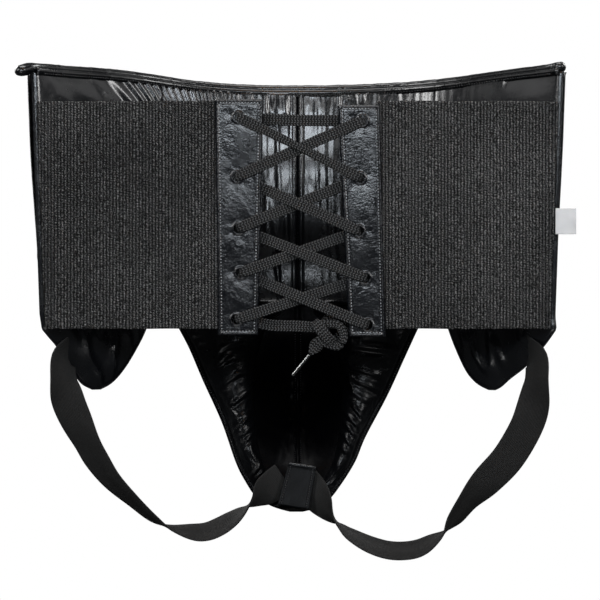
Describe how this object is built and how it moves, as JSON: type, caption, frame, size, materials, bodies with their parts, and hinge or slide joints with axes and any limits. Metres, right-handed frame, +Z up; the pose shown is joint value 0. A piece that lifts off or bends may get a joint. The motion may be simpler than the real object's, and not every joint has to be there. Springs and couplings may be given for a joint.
{
  "type": "groin protector",
  "caption": "Padded leather groin protector with a cup, wide elastic back closed by a flat lace, and webbing leg straps.",
  "frame": {"origin": "middle of the waist opening at the middle height of the belt", "axes": "+Z up as worn, +Y to the wearer's front, +X across the width, to the right when seen from behind"},
  "size_m": [0.3913, 0.1643, 0.3534],
  "materials": {
    "leather": "glossy coated leather, fine grain",
    "lining": "glossy coated leather, dark and wrinkled",
    "elastic": "ribbed woven elastic, matt",
    "webbing": "narrow woven elastic webbing, matt",
    "lace": "flat braided lace, matt",
    "foam": "closed-cell foam padding",
    "cup": "moulded plastic shell",
    "metal": "rolled and polished tip",
    "tag": "smooth woven label, blank"
  },
  "bodies": {
    "front": {"belly_cover": "leather", "belly_foam": "foam", "left_hip_cover": "leather", "left_hip_foam": "foam", "right_hip_cover": "leather", "right_hip_foam": "foam", "left_lining": "leather", "right_lining": "leather", "waist_roll": "leather", "cup_cover": "leather", "cup_foam": "foam", "hard_cup": "cup", "cup_lining": "lining", "left_cup_roll": "leather", "right_cup_roll": "leather", "crotch_tab": "leather", "left_elastic": "elastic", "right_elastic": "elastic"},
    "left_lacing": {"left_lacing_face": "leather", "left_lacing_backing": "leather"},
    "right_lacing": {"right_lacing_face": "leather", "right_lacing_backing": "leather"},
    "laced_part": {"lace": "lace", "tucked_aglet": "metal"},
    "tail": {"lace_tail": "lace", "lace_aglet": "metal"},
    "left_strap": {"left_leg_strap": "webbing"},
    "right_strap": {"right_leg_strap": "webbing"},
    "label": {"care_tag": "tag"}
  },
  "joints": [
    {"name": "left_lacing_slide", "type": "slide", "parent": "front", "child": "left_lacing", "axis": [1, 0, 0], "range_m": [0, 0.025], "stiffness_N_per_m": 400, "deforming": ["left_elastic", "lace"]},
    {"name": "right_lacing_slide", "type": "slide", "parent": "front", "child": "right_lacing", "axis": [-1, 0, 0], "range_m": [0, 0.025], "stiffness_N_per_m": 400, "deforming": ["right_elastic"]},
    {"name": "lace_slide", "type": "slide", "parent": "front", "child": "laced_part", "axis": [-1, 0, 0], "range_m": [0, 0.0088]},
    {"name": "lace_tail_hinge", "type": "hinge", "parent": "laced_part", "child": "tail", "pos_m": [0.0165, -0.06, -0.088], "axis": [0, 1, 0], "range_deg": [-60, 30], "stiffness_Nm_per_rad": 0.01},
    {"name": "left_strap_hinge", "type": "hinge", "parent": "front", "child": "left_strap", "pos_m": [-0.167, -0.038, -0.102], "axis": [0.8504, 0.2381, -0.4692], "range_deg": [-50, 20], "deforming": ["left_leg_strap"]},
    {"name": "right_strap_hinge", "type": "hinge", "parent": "front", "child": "right_strap", "pos_m": [0.17, -0.0405, -0.102], "axis": [0.8551, -0.252, 0.4531], "range_deg": [-50, 20], "deforming": ["right_leg_strap"]},
    {"name": "care_tag_hinge", "type": "hinge", "parent": "front", "child": "label", "pos_m": [0.181, -0.0512, -0.0042], "axis": [0, 0, -1], "range_deg": [-8, 100], "stiffness_Nm_per_rad": 0.0005}
  ],
  "couplings": [
    {"joint": "right_lacing_slide", "follows": "left_lacing_slide", "ratio": 1},
    {"joint": "lace_slide", "follows": "left_lacing_slide", "ratio": 0.352}
  ]
}
